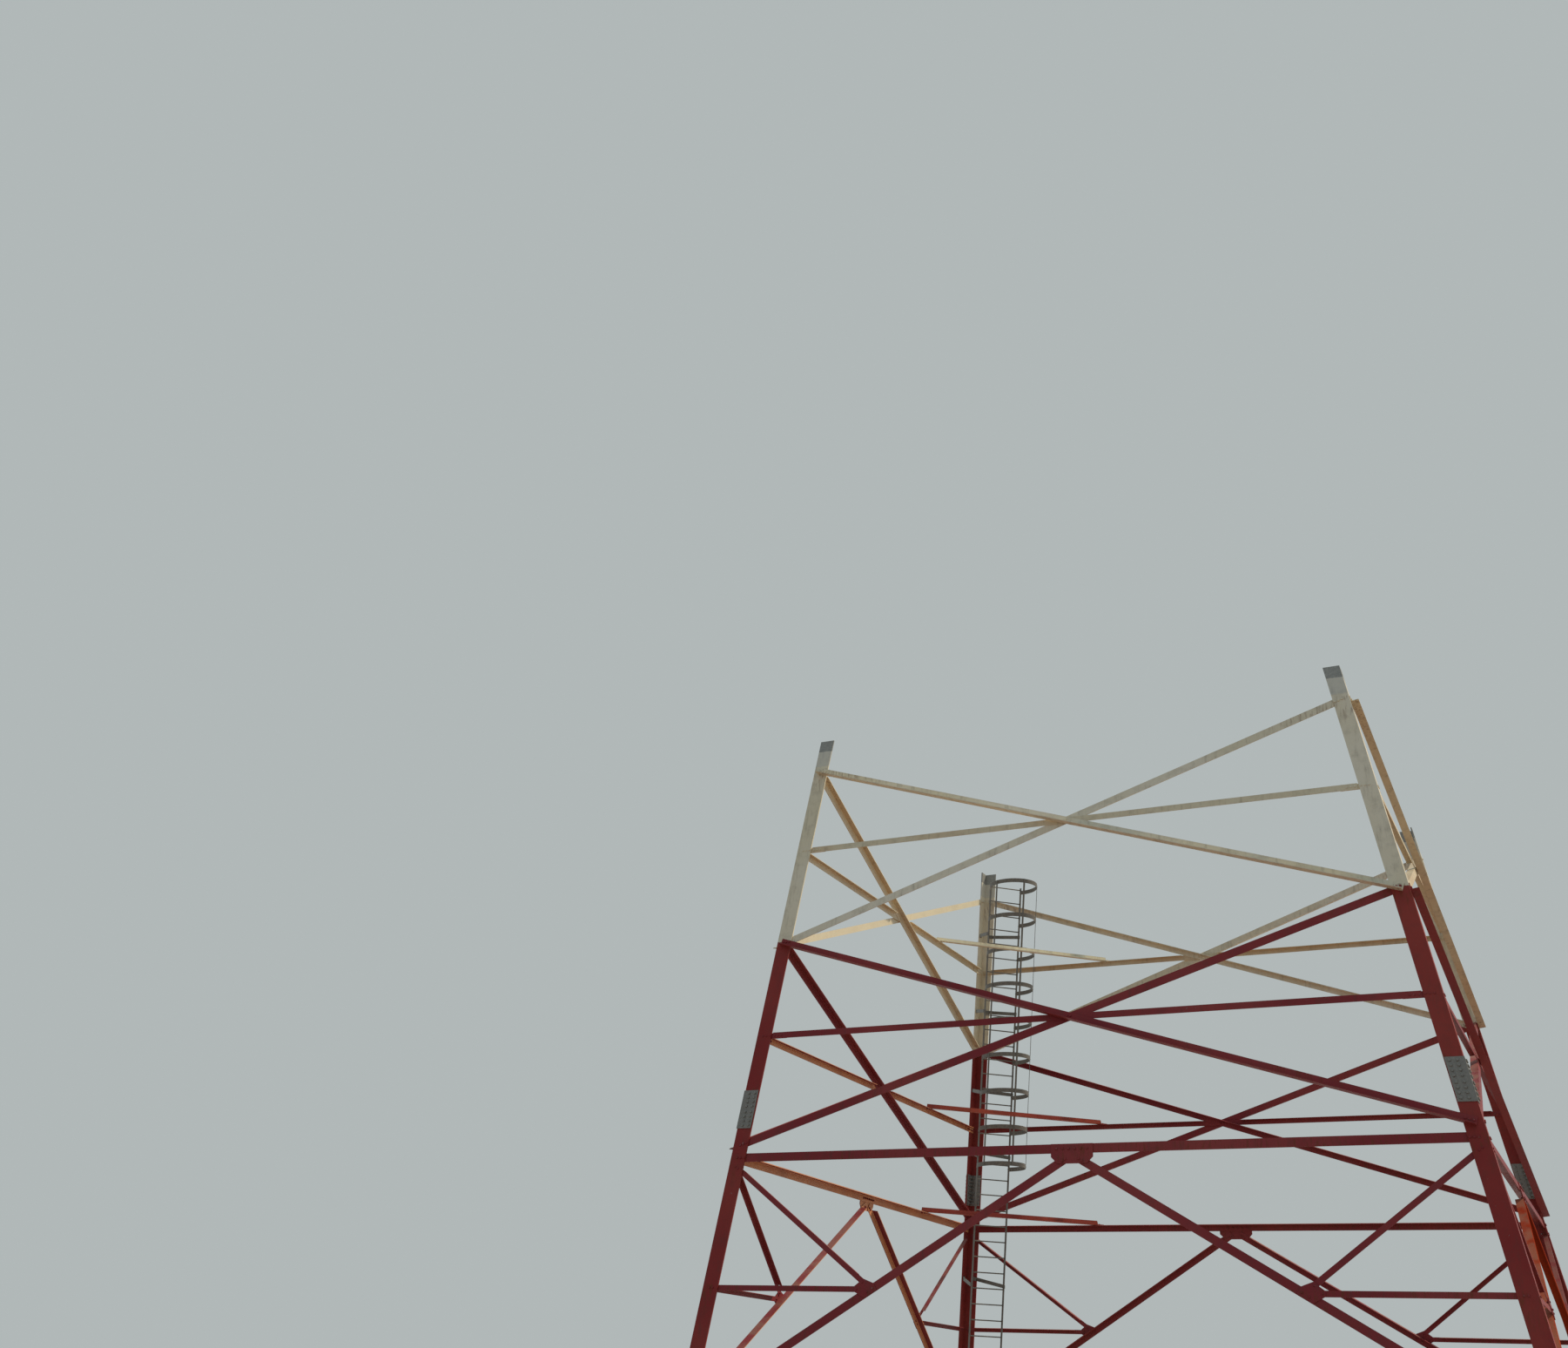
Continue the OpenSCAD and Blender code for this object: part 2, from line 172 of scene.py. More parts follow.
# Lugs and welds
LUG_L = 0.056
LUG_B = 0.050
LUG_T = 0.005
LUG_CORNER = 0.008
LUG_CORNER_STEPS = 2
LUG_BACK = 0.002
RIPPLE_SIZE = (0.0075, 0.0095, 0.0095)
RIPPLE_TAPER = (1, 0.8, 0.8)
RIPPLE_SPREAD = (0.88, 1.12)
RIPPLE_PITCH = 0.0065
RIPPLE_MESH = (8, 5)
RUNG_WELD_OUT = 0.001
RUNG_WELD_R = 0.0035
RUNG_WELD_TAPER = (0.94, 0.94, 1)
RUNG_WELD_MESH = (14, 5)

# Bolt rows along a bar, from the point that the bar's end is drawn from
END_ROW = (-0.012, 0.043, 0.098)
STRUT_ROW = (-0.010, 0.045)
FOOT_BRACE_ROW = (0.118, 0.173)
STRUT_PLATE_IN = 0.035
BRACE_PLATE_ROW = (-0.030, 0.075)

# How far bolts stand off a bar's middle line, away from its standing flange
CLEAR_OF_FLANGE = 0.006
CLEAR_OF_THIN_FLANGE = 0.004

# Bolt rows across a side: from its middle, from the leg's corner, or from the end of a light tie
CROSSING_OUT = 0.028
MAIN_GUSSET_ROW = (0.045, 0.135, 0.225)
TIE_LEG_ROW = (0.105, 0.165, 0.225)
TIE_PLATE_ROW = (0.035, 0.095, 0.155)
SPLICE_COLUMNS = (0.085, 0.185)
SPLICE_ROWS = (-0.255, -0.185, -0.115, -0.045, 0.045, 0.115, 0.185, 0.255)

# Bolts of the corner ties, the ladder's brackets and the lugs
CORNER_TIE_IN = 0.052
CORNER_TIE_ROW = (0.030, 0.068)
BRACKET_COLUMNS = (0.165, 0.205)
BRACKET_ROWS = (-0.020, 0.020)
CLEAR_OF_RUNG = 0.012
LUG_BOLT_BACK = 0.006

# Patches of wear, and of painted sunlight: scale, detail and roughness of the noise, and the values
# between which they set in
CHALK = (0.45, 5, 0.55, 0.36, 0.66)
DIRT = (1.3, 6, 0.65, 0.50, 0.80)
MOTTLE = (6, 6, 0.62, 0.46, 0.75)
SEEP = (1.7, 4, 0.55, 0.50, 0.68)
SETTLED = (3, 5, 0.55, 0.35, 0.60)
FLAKE_AREAS = (1.9, 3, 0.55, 0.45, 0.60)
BARE_SPOTS = (4, 3, 0.55, 0.40, 0.60)
DULL = (1.6, 5, 0.55, 0.40, 0.75)
ZINC_RUST = (3.1, 8, 0.7, 0.64, 0.76)
# Patches of painted sunlight on the left side's inward faces
PAINTED_SUN_PATCHES = (1.4, 5, 0.55, 0.25, 0.60)

# How far each layer of wear, and of painted sunlight, covers what is under it
DIRT_SHARE = 0.40
MOTTLE_SHARE = 0.20
SEEP_SHARE = 0.55
SETTLED_SHARE = 0.30
CRYSTAL_SHARE = 0.7
DULL_SHARE = 0.5
ZINC_RUST_SHARE = 0.55
# Shares of painted sunlight on the left side's inward faces: least, more in patches, and on the legs'
# cream
PAINTED_SUN_LEAST = 0.55
PAINTED_SUN_MORE = 0.35
PAINTED_SUN_ON_LEGS = 0.6
STUB_SHARE = 0.5

# Scale of the patterns along each axis
EVEN = (1, 1, 1)
PAINT_RUNS = (10, 10, 0.6)
SEEP_RUNS = (16, 16, 0.9)
ZINC_RUNS = (8, 8, 0.8)
CRYSTAL_SCALE = 42.0

# Rust seeps down from the joints: its reach, where it is full, and where it fades above them
JOINT_LEVELS = (HIGH_Z, MID_Z, SPLICE_Z + SPLICE_LEN / 2, MAIN_Z, STRUT_Z)
SEEP_REACH = 0.55
SEEP_FULL = 0.05
SEEP_FADES = 0.03
SEEP_ENDS = 0.06

# Flakes: their noise, the value from which each paint flakes, and the width of their edges
FLAKE_NOISE = (26, 8, 0.7)
RED_FLAKES = 0.66
CREAM_FLAKES = 0.68
RED_BOLT_FLAKES = 0.56
CREAM_BOLT_FLAKES = 0.58
FLAKE_EDGE = 0.03

# Slopes that dust settles on, the side with painted sunlight, and its faces that look inwards
LEVEL_FACE = (0.55, 0.9)
SUNNY_SIDE = (4.2, 4.4)
INWARD_FACE = (0.2, 0.6)

# Edges between the bands of paint on the legs, each a distance above its level
PAINT_EDGE = (0.02, 0.032)
STUB_EDGE = (0.10, 0.13)
ZINC_EDGE = (0.0, 0.012)
BRUSH_NOISE = (14, 3)
BRUSH_WAVE = 0.03

# Gloss, roughness and relief
PAINT_GLOSS = 0.12
ZINC_METALLIC = 0.22
SMOOTHEST = 0.42
CHALK_ROUGHENS = 0.22
CRYSTAL_ROUGHENS = 0.16
FLOOR_ROUGHNESS = 0.9
GRAIN_NOISE = (120, 3)
WAVE_NOISE = (9, 3)
GRAIN_RISE = 0.35
WAVE_RISE = 0.8
FLAKE_RISE = -1.2
RELIEF_DEPTH = 0.002
PAINT_RELIEF = 0.5
ZINC_RELIEF = 0.35

# Colours in linear values, as they are in plain light, except the painted sunlight and painted shade
# noted below
RED = (0.250, 0.028, 0.026)
RED_FADED = (0.310, 0.052, 0.040)
CRIMSON = (0.235, 0.029, 0.034)
CRIMSON_FADED = (0.295, 0.053, 0.050)
# Painted sunlight: a warmer, brighter copy of the red, for the right foot braces
SUNLIT_RED = (0.330, 0.040, 0.016)
SUNLIT_FADED = (0.420, 0.070, 0.025)
# Painted sunlight: orange for the red on the left side's inward faces
SUNLIT_ORANGE = (0.820, 0.370, 0.170)
# Painted light: bright coral, the corner ties' red as a lit copy of the faded red
LIT_CORAL = (0.450, 0.095, 0.055)
CREAM = (0.72, 0.63, 0.44)
CREAM_FADED = (0.78, 0.70, 0.54)
# Painted sunlight: light cream for the left side's inward faces, and the corner ties' lit cream
SUNLIT_CREAM = (0.86, 0.78, 0.56)
# Painted shade: the warm tan of cream in shade lit from the ground, put into some cream braces and
# ties
SHADE_TAN = (0.66, 0.50, 0.31)
GRIME = (0.070, 0.054, 0.042)
DUST = (0.36, 0.28, 0.19)
RUST = (0.15, 0.048, 0.018)
ZINC = (0.42, 0.42, 0.37)
ZINC_DARK = (0.28, 0.28, 0.25)
PLATE_ZINC = (0.27, 0.26, 0.23)
PLATE_DARK = (0.19, 0.18, 0.16)
LADDER_ZINC = (0.25, 0.22, 0.175)
LADDER_DARK = (0.135, 0.120, 0.100)
STUB_GREY = (0.50, 0.51, 0.47)
PALE = (0.44, 0.48, 0.48)
FLOOR_PALE = (0.62, 0.62, 0.60)
FLOOR_WARM = (0.290, 0.215, 0.170)


# Camera and light

def make_camera():
    ahead = CAMERA_AHEAD.normalized()
    side = ahead.cross(CAMERA_UP).normalized()
    upward = side.cross(ahead)
    bpy.ops.object.camera_add(location=CAMERA_PLACE)
    camera = bpy.context.object
    camera.name = "camera"
    camera.rotation_euler = Matrix((side, upward, -ahead)).transposed().to_euler()
    camera.data.sensor_width = SENSOR_MM
    camera.data.lens = SENSOR_MM * FOCAL_PX / PHOTO_W
    camera.data.shift_x = (PHOTO_W / 2 - AXIS_X_PX) / PHOTO_W
    camera.data.shift_y = (AXIS_Y_PX - PHOTO_H / 2) / PHOTO_W
    camera.data.clip_end = CLIP_END
    bpy.context.scene.camera = camera


def make_light():
    bpy.ops.object.light_add(type="SUN")
    key = bpy.context.object
    key.name = "key_light"
    key.rotation_euler = KEY_FROM.normalized().to_track_quat("Z", "Y").to_euler()
    key.data.energy = KEY_STRENGTH
    key.data.angle = KEY_SPREAD
    key.data.color = KEY_COLOUR


def seen_directly(tree):
    """1 for what the camera sees, by itself or mirrored in zinc, and 0 for light on the mast."""
    ray = put(tree, "ShaderNodeLightPath").outputs
    seen = larger(tree, ray["Is Camera Ray"], ray["Is Glossy Ray"])
    return larger(tree, seen, ray["Is Transmission Ray"])


def make_world():
    world = bpy.data.worlds.new("pale_surroundings")
    bpy.context.scene.world = world
    world.use_nodes = True
    tree = world.node_tree
    tree.nodes.clear()
    light = put(tree, "ShaderNodeBackground", {"Color": (*SKY_COLOUR, 1), "Strength": SKY_STRENGTH})
    shown = put(tree, "ShaderNodeBackground", {"Color": (*PALE, 1), "Strength": 1.0})
    both = put(tree, "ShaderNodeMixShader",
               {0: seen_directly(tree), 1: light.outputs[0], 2: shown.outputs[0]})
    put(tree, "ShaderNodeOutputWorld", {"Surface": both.outputs[0]})


def make_floor():
    bpy.ops.mesh.primitive_circle_add(vertices=FLOOR_SIDES, radius=FLOOR_R, fill_type="NGON",
                                      location=(0, 0, FLOOR_Z))
    floor = bpy.context.object
    floor.name = "floor"
    material, tree, shader = new_finish("floor_pale")
    colour = blend(tree, seen_directly(tree), FLOOR_WARM, FLOOR_PALE)
    tree.links.new(colour, shader.inputs["Base Color"])
    shader.inputs["Roughness"].default_value = FLOOR_ROUGHNESS
    floor.data.materials.append(material)


# Material helpers

def put(tree, kind, inputs=None, **settings):
    """Adds a node, sets its settings, and sets or links its inputs."""
    made = tree.nodes.new(kind)
    for key, value in settings.items():
        setattr(made, key, value)
    for key, value in (inputs or {}).items():
        if isinstance(value, bpy.types.NodeSocket):
            tree.links.new(value, made.inputs[key])
        else:
            made.inputs[key].default_value = value
    return made


def new_finish(name):
    material = bpy.data.materials.new(name)
    material.use_nodes = True
    tree = material.node_tree
    tree.nodes.clear()
    shader = put(tree, "ShaderNodeBsdfPrincipled")
    put(tree, "ShaderNodeOutputMaterial", {"Surface": shader.outputs[0]})
    return material, tree, shader


def stretched(tree, scale):
    """Object coordinates, scaled along each axis."""
    place = put(tree, "ShaderNodeTexCoord").outputs["Object"]
    return put(tree, "ShaderNodeMapping", {"Vector": place, "Scale": scale}).outputs[0]


def noise(tree, place, scale, detail, roughness=0.55):
    inputs = {"Vector": place, "Scale": scale, "Detail": detail, "Roughness": roughness}
    return put(tree, "ShaderNodeTexNoise", inputs).outputs["Fac"]


def between(tree, value, low, high):
    """0 below low, 1 above high, smooth between."""
    ramp = put(tree, "ShaderNodeMapRange", {0: value, 1: low, 2: high},
               interpolation_type="SMOOTHSTEP")
    return ramp.outputs[0]


def patches(tree, place, pattern):
    """Soft-edged patches of one of the patterns of wear."""
    scale, detail, roughness, low, high = pattern
    return between(tree, noise(tree, place, scale, detail, roughness), low, high)


def times(tree, a, b):
    return put(tree, "ShaderNodeMath", {0: a, 1: b}, operation="MULTIPLY").outputs[0]


def plus(tree, a, b):
    return put(tree, "ShaderNodeMath", {0: a, 1: b}, operation="ADD").outputs[0]


def larger(tree, a, b):
    return put(tree, "ShaderNodeMath", {0: a, 1: b}, operation="MAXIMUM").outputs[0]


def blend(tree, share, a, b):
    """Colour a where share is 0, and b where it is 1."""
    pair = {6: a if isinstance(a, bpy.types.NodeSocket) else (*a, 1),
            7: b if isinstance(b, bpy.types.NodeSocket) else (*b, 1)}
    return put(tree, "ShaderNodeMix", {0: share, **pair}, data_type="RGBA").outputs[2]


def height(tree):
    place = put(tree, "ShaderNodeTexCoord").outputs["Object"]
    return put(tree, "ShaderNodeSeparateXYZ", {0: place}).outputs["Z"]


def facing_up(tree):
    """1 on top of a flange, where dust settles."""
    normal = put(tree, "ShaderNodeTexCoord").outputs["Normal"]
    level = put(tree, "ShaderNodeSeparateXYZ", {0: normal}).outputs["Z"]
    return between(tree, level, *LEVEL_FACE)


def under_joints(tree):
    """1 just under each joint, fading downwards."""
    z = height(tree)
    mask = None
    for level in JOINT_LEVELS:
        below = between(tree, z, level - SEEP_REACH, level - SEEP_FULL)
        band = times(tree, below, between(tree, z, level + SEEP_ENDS, level + SEEP_FADES))
        mask = band if mask is None else larger(tree, mask, band)
    return mask


# Finishes: a coat returns the colour, the roughness and the broken places of a surface

def paint_coat(tree, fresh, faded, flakes_from):
    """Brushed paint that has chalked, run, gathered dust and flaked, with rust under its joints."""
    plain = stretched(tree, EVEN)
    runs = stretched(tree, PAINT_RUNS)
    chalk = patches(tree, plain, CHALK)
    colour = blend(tree, chalk, fresh, faded)
    dirt = patches(tree, runs, DIRT)
    colour = blend(tree, times(tree, dirt, DIRT_SHARE), colour, GRIME)
    mottle = patches(tree, plain, MOTTLE)
    colour = blend(tree, times(tree, mottle, MOTTLE_SHARE), colour, GRIME)
    seep = times(tree, patches(tree, stretched(tree, SEEP_RUNS), SEEP), under_joints(tree))
    colour = blend(tree, times(tree, seep, SEEP_SHARE), colour, RUST)
    settled = times(tree, facing_up(tree), patches(tree, plain, SETTLED))
    colour = blend(tree, times(tree, settled, SETTLED_SHARE), colour, DUST)
    chips = between(tree, noise(tree, plain, *FLAKE_NOISE), flakes_from, flakes_from + FLAKE_EDGE)
    flakes = times(tree, chips, patches(tree, plain, FLAKE_AREAS))
    bare = blend(tree, patches(tree, plain, BARE_SPOTS), RUST, ZINC_DARK)
    colour = blend(tree, flakes, colour, bare)
    rough = plus(tree, times(tree, larger(tree, chalk, settled), CHALK_ROUGHENS), SMOOTHEST)
    return colour, rough, flakes


def zinc_coat(tree, light, dark):
    """Dull hot-dip zinc with its crystal pattern, grey runs and a little rust."""
    plain = stretched(tree, EVEN)
    runs = stretched(tree, ZINC_RUNS)
    cells = put(tree, "ShaderNodeTexVoronoi", {"Vector": plain, "Scale": CRYSTAL_SCALE})
    cell = put(tree, "ShaderNodeSeparateColor", {0: cells.outputs["Color"]}).outputs[0]
    colour = blend(tree, times(tree, cell, CRYSTAL_SHARE), dark, light)
    dull = patches(tree, runs, DULL)
    colour = blend(tree, times(tree, dull, DULL_SHARE), colour, dark)
    rust = patches(tree, plain, ZINC_RUST)
    colour = blend(tree, times(tree, rust, ZINC_RUST_SHARE), colour, RUST)
    rough = plus(tree, times(tree, cell, CRYSTAL_ROUGHENS), SMOOTHEST)
    return colour, rough, rust


def surface_relief(tree, shader, flakes, strength):
    """Brush marks and orange peel, with the flakes set in."""
    plain = stretched(tree, EVEN)
    grain = noise(tree, plain, *GRAIN_NOISE)
    waves = noise(tree, plain, *WAVE_NOISE)
    level = plus(tree, times(tree, grain, GRAIN_RISE), times(tree, waves, WAVE_RISE))
    level = plus(tree, level, times(tree, flakes, FLAKE_RISE))
    bump = put(tree, "ShaderNodeBump",
               {"Strength": strength, "Distance": RELIEF_DEPTH, "Height": level})
    tree.links.new(bump.outputs[0], shader.inputs["Normal"])


def sunward(tree):
    """1 on the faces of the left side that look inwards, where sunlight is painted into the colour.
    """
    coordinates = put(tree, "ShaderNodeTexCoord").outputs
    x = put(tree, "ShaderNodeSeparateXYZ", {0: coordinates["Object"]}).outputs["X"]
    turn = put(tree, "ShaderNodeSeparateXYZ", {0: coordinates["Normal"]}).outputs["X"]
    on_left = between(tree, times(tree, x, -1.0), *SUNNY_SIDE)
    return times(tree, on_left, between(tree, turn, *INWARD_FACE))


def painted(name, fresh, faded, flakes_from, sunlit_colour=None, gloss=PAINT_GLOSS):
    """Paint, and where a sunlit colour is given, that colour on the sunward faces as painted
    sunlight.
    """
    material, tree, shader = new_finish(name)
    colour, rough, flakes = paint_coat(tree, fresh, faded, flakes_from)
    # Painted sunlight: the sunlit colour, in patches, on the left side's inward faces
    if sunlit_colour:
        patchy = patches(tree, stretched(tree, EVEN), PAINTED_SUN_PATCHES)
        share = times(tree, sunward(tree), plus(tree, times(tree, patchy, PAINTED_SUN_MORE), PAINTED_SUN_LEAST))
        colour = blend(tree, share, colour, sunlit_colour)
    tree.links.new(colour, shader.inputs["Base Color"])
    tree.links.new(rough, shader.inputs["Roughness"])
    shader.inputs["Specular IOR Level"].default_value = gloss
    surface_relief(tree, shader, flakes, PAINT_RELIEF)
    return material


def galvanised(name, light, dark):
    material, tree, shader = new_finish(name)
    colour, rough, rust = zinc_coat(tree, light, dark)
    tree.links.new(colour, shader.inputs["Base Color"])
    tree.links.new(rough, shader.inputs["Roughness"])
    shader.inputs["Metallic"].default_value = ZINC_METALLIC
    surface_relief(tree, shader, rust, ZINC_RELIEF)
    return material


def above_edge(tree, level, z, edge):
    """0 below an edge between two bands, 1 above it."""
    return between(tree, level, z + edge[0], z + edge[1])


def banded(name, reds, creams):
    """Red up to the colour change, cream above it with painted sunlight on the left side's inward
    faces, a greyed stub, and a bare zinc end.
    """
    material, tree, shader = new_finish(name)
    red, red_rough, red_flakes = paint_coat(tree, *reds, RED_FLAKES)
    cream, cream_rough, cream_flakes = paint_coat(tree, *creams, CREAM_FLAKES)
    # Painted sunlight: lighter cream on the left side's inward faces
    cream = blend(tree, times(tree, sunward(tree), PAINTED_SUN_ON_LEGS), cream, SUNLIT_CREAM)
    zinc, zinc_rough, _ = zinc_coat(tree, ZINC, ZINC_DARK)
    wavy = times(tree, noise(tree, stretched(tree, EVEN), *BRUSH_NOISE), BRUSH_WAVE)
    level = plus(tree, height(tree), wavy)
    above = above_edge(tree, level, MID_Z, PAINT_EDGE)
    stub = above_edge(tree, level, HIGH_Z, STUB_EDGE)
    bare = above_edge(tree, level, TOP_Z - BARE_END, ZINC_EDGE)
    colour = blend(tree, above, red, cream)
    colour = blend(tree, times(tree, stub, STUB_SHARE), colour, STUB_GREY)
    colour = blend(tree, bare, colour, zinc)
    rough = put(tree, "ShaderNodeMix", {0: above, 2: red_rough, 3: cream_rough}).outputs[0]
    rough = put(tree, "ShaderNodeMix", {0: bare, 2: rough, 3: zinc_rough}).outputs[0]
    tree.links.new(colour, shader.inputs["Base Color"])
    tree.links.new(rough, shader.inputs["Roughness"])
    shader.inputs["Specular IOR Level"].default_value = PAINT_GLOSS
    surface_relief(tree, shader, plus(tree, red_flakes, cream_flakes), PAINT_RELIEF)
    return material


def make_finishes():
    return {
        "red": painted("red_paint", RED, RED_FADED, RED_FLAKES),
        "cream": painted("cream_paint", CREAM, CREAM_FADED, CREAM_FLAKES),
        "crimson": painted("crimson_paint", CRIMSON, CRIMSON_FADED, RED_FLAKES),
        # Crimson paint with painted sunlight: orange on the left side's inward faces
        "red_with_painted_sun": painted("red_paint_with_painted_sun", CRIMSON, CRIMSON_FADED, RED_FLAKES, SUNLIT_ORANGE),
        # Painted sunlight: the right foot braces' red as a lit copy, without gloss
        "sunlit_copy_red": painted("sunlit_copy_red_paint", SUNLIT_RED, SUNLIT_FADED, RED_FLAKES, gloss=0.0),
        # Cream paint with painted shade: warm tan outside the chalked patches
        "shade_tan_cream": painted("shade_tan_cream_paint", SHADE_TAN, CREAM, CREAM_FLAKES),
        # Cream paint with painted warm shade in tan, and painted sunlight on the left side's inward
        # faces
        "cream_with_painted_sun_and_shade": painted("cream_paint_with_painted_sun_and_shade", SHADE_TAN, CREAM, CREAM_FLAKES, SUNLIT_CREAM),
        "banded": banded("banded_paint", (RED, RED_FADED), (CREAM, CREAM_FADED)),
        # The corner ties' bands as a lit copy: chalked red and cream, with painted light in the coral
        # and the sunlit cream
        "lit_copy_bands": banded("lit_copy_banded_paint", (RED_FADED, LIT_CORAL), (CREAM, SUNLIT_CREAM)),
        "plate": galvanised("zinc_plate", PLATE_ZINC, PLATE_DARK),
        "ladder": galvanised("zinc_ladder", LADDER_ZINC, LADDER_DARK),
        "red_bolt": painted("red_bolt_paint", CRIMSON, CRIMSON_FADED, RED_BOLT_FLAKES),
        "cream_bolt": painted("cream_bolt_paint", CREAM, CREAM_FADED, CREAM_BOLT_FLAKES),
        "zinc_bolt": galvanised("zinc_bolt", ZINC_DARK, PLATE_DARK),
    }


def dress_nodes():
    """Gives each CAD piece its finish: that of its slot, or one of its own."""
    finish_of_slot = {
        "red_leg": "red",
        "white_leg": "banded",
        "red_bracing": "crimson",
        "white_bracing": "cream",
        "galvanised_plate": "plate",
        "galvanised_ladder": "ladder",
    }
    # Finishes of their own, several with painted sunlight, painted shade or a lit copy of their paint
    finish_of_node = {
        "corner_ties": "lit_copy_bands",
        "left_main_tie": "red_with_painted_sun",
        "left_foot_braces": "red_with_painted_sun",
        "lower_ties": "red_with_painted_sun",
        "main_gussets": "red_with_painted_sun",
        "right_foot_braces": "sunlit_copy_red",
        "right_upper_braces": "shade_tan_cream",
        "left_upper_braces": "cream_with_painted_sun_and_shade",
        "upper_ties": "cream_with_painted_sun_and_shade",
    }
    for part in frame["record"]["subparts"]:
        piece = frame["nodes"][part["node"]]
        finish = finish_of_node.get(part["node"], finish_of_slot[part["material_slot"]])
        piece.data.materials.clear()
        piece.data.materials.append(finishes[finish])


# The mast's geometry, as its CAD pieces follow it

def up(z):
    """Distance up the leaning side of a level."""
    return z / math.cos(TILT)


def half(v):
    """Half the side's width, a distance v up the side."""
    return BASE_W / 2 - math.sin(TILT) * v


def in_from_corner(v, d):
    """Distance from the side's middle to a point d along the leg flange from its corner."""
    return half(v) - d / math.cos(CORNER_TILT)


def seat(z):
    """Middle of the right leg flange at a level."""
    return Vector((in_from_corner(up(z), LEG_B / 2), up(z)))


def crossing(z0, z1):
    """Distance up the side at which two mirrored braces cross."""
    low, high = seat(z0), seat(z1)
    return low.y + (high.y - low.y) * low.x / (low.x + high.x)


def polar(turn, a, d):
    """Point a along the direction of angle turn, and d to its left."""
    return Vector((a * math.cos(turn) - d * math.sin(turn), a * math.sin(turn) + d * math.cos(turn)))


def turned(axis, angle):
    return Matrix.Rotation(angle, 4, axis)


def upright_frame(i):
    """At the foot of side i: X along it, Y into the mast."""
    return turned("Z", math.pi / 2 * i) @ Matrix.Translation((0, -BASE_W / 2, 0))


def side_frame(i):
    """The same, with Z up the slope."""
    return upright_frame(i) @ turned("X", -TILT)


def leaning_frame(i):
    """At the foot of leg i: Z follows the leg, and Y leans to the mast's middle."""
    foot = turned("Z", math.pi / 2 * i) @ Matrix.Translation((-BASE_W / 2, -BASE_W / 2, 0))
    return foot @ turned("Z", -math.pi / 4) @ turned("X", -LADDER_TILT)


def along(z):
    """Distance up the leaning leg of a level."""
    return z / math.cos(LADDER_TILT)


def on_ladder(z):
    """The same, of a level at the ladder."""
    return along(z) + LADDER_IN * math.tan(LADDER_TILT)


# Modelling helpers

def pick(piece, chosen):
    """In edit mode, selects the faces whose centre and normal the test chooses."""
    bpy.ops.object.mode_set(mode="EDIT")
    bpy.ops.mesh.select_mode(type="FACE")
    bpy.ops.mesh.select_all(action="DESELECT")
    mesh = bmesh.from_edit_mesh(piece.data)
    for face in mesh.faces:
        face.select_set(chosen(face.calc_center_median(), face.normal))
    bmesh.update_edit_mesh(piece.data)


def chamfer_top(piece, rise, share):
    """Extrudes the top face up and draws it in."""
    top = max(v.co.z for v in piece.data.vertices)
    pick(piece, lambda centre, normal: normal.z > TOP_FACES and centre.z > top - LEVEL_SLACK)
    bpy.ops.mesh.extrude_region_move(TRANSFORM_OT_translate={"value": (0, 0, rise)})
    bpy.ops.transform.resize(value=(share, share, 1))
    bpy.ops.object.mode_set(mode="OBJECT")


def prism(sides, radius, low, high):
    """Upright prism from low to high, its place in its mesh."""
    bpy.ops.mesh.primitive_cylinder_add(vertices=sides, radius=radius, depth=high - low,
                                        location=(0, 0, (low + high) / 2))
    bpy.ops.object.transform_apply(location=True)
    return bpy.context.object


def join(pieces):
    """Makes one piece of several, and returns it."""
    bpy.ops.object.select_all(action="DESELECT")
    for piece in pieces:
        piece.select_set(True)
    bpy.context.view_layer.objects.active = pieces[0]
    bpy.ops.object.join()
    bpy.ops.object.select_all(action="DESELECT")
    return pieces[0]


def copy_to(master, place):
    """Copies the master with a mesh of its own, moved to its place."""
    piece = master.copy()
    piece.data = master.data.copy()
    piece.data.transform(place)
    bpy.context.collection.objects.link(piece)
    return piece


def finish_piece(piece, name, finish):
    piece.name = name
    piece.data.name = name
    piece.data.materials.clear()
    piece.data.materials.append(finishes[finish])
    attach(piece, "root")


# Masters, standing on the plane Z = 0: heads and nuts are made for a 20 mm thread

def make_head():
    """Hexagon head on its washer."""
    washer = prism(WASHER_SIDES, WASHER_R, 0, WASHER_T)
    head = prism(HEX_SIDES, HEX_R, WASHER_T, HEAD_TOP)
    chamfer_top(head, *HEX_CHAMFER)
    return join([washer, head])


def make_nut():
    """Nut on its washer, with the bolt's end through it."""
    washer = prism(WASHER_SIDES, WASHER_R, 0, WASHER_T)
    nut = prism(HEX_SIDES, HEX_R, WASHER_T, NUT_TOP)
    chamfer_top(nut, *HEX_CHAMFER)
    end = prism(THREAD_SIDES, THREAD_R, WASHER_T, THREAD_TOP)
    chamfer_top(end, *THREAD_CHAMFER)
    return join([washer, nut, end])


def make_anchor():
    """Anchor stud with its washer and two nuts."""
    washer = prism(ANCHOR_WASHER_SIDES, ANCHOR_WASHER_R, 0, ANCHOR_WASHER_T)
    chamfer_top(washer, *WASHER_CHAMFER)
    stud = prism(STUD_SIDES, STUD_R, 0, STUD_TOP)
    chamfer_top(stud, *ANCHOR_CHAMFER)
    pieces = [washer, stud]
    for low, high in ANCHOR_NUTS:
        nut = prism(HEX_SIDES, ANCHOR_NUT_R, low, high)
        chamfer_top(nut, *ANCHOR_CHAMFER)
        pieces.append(nut)
    return join(pieces)


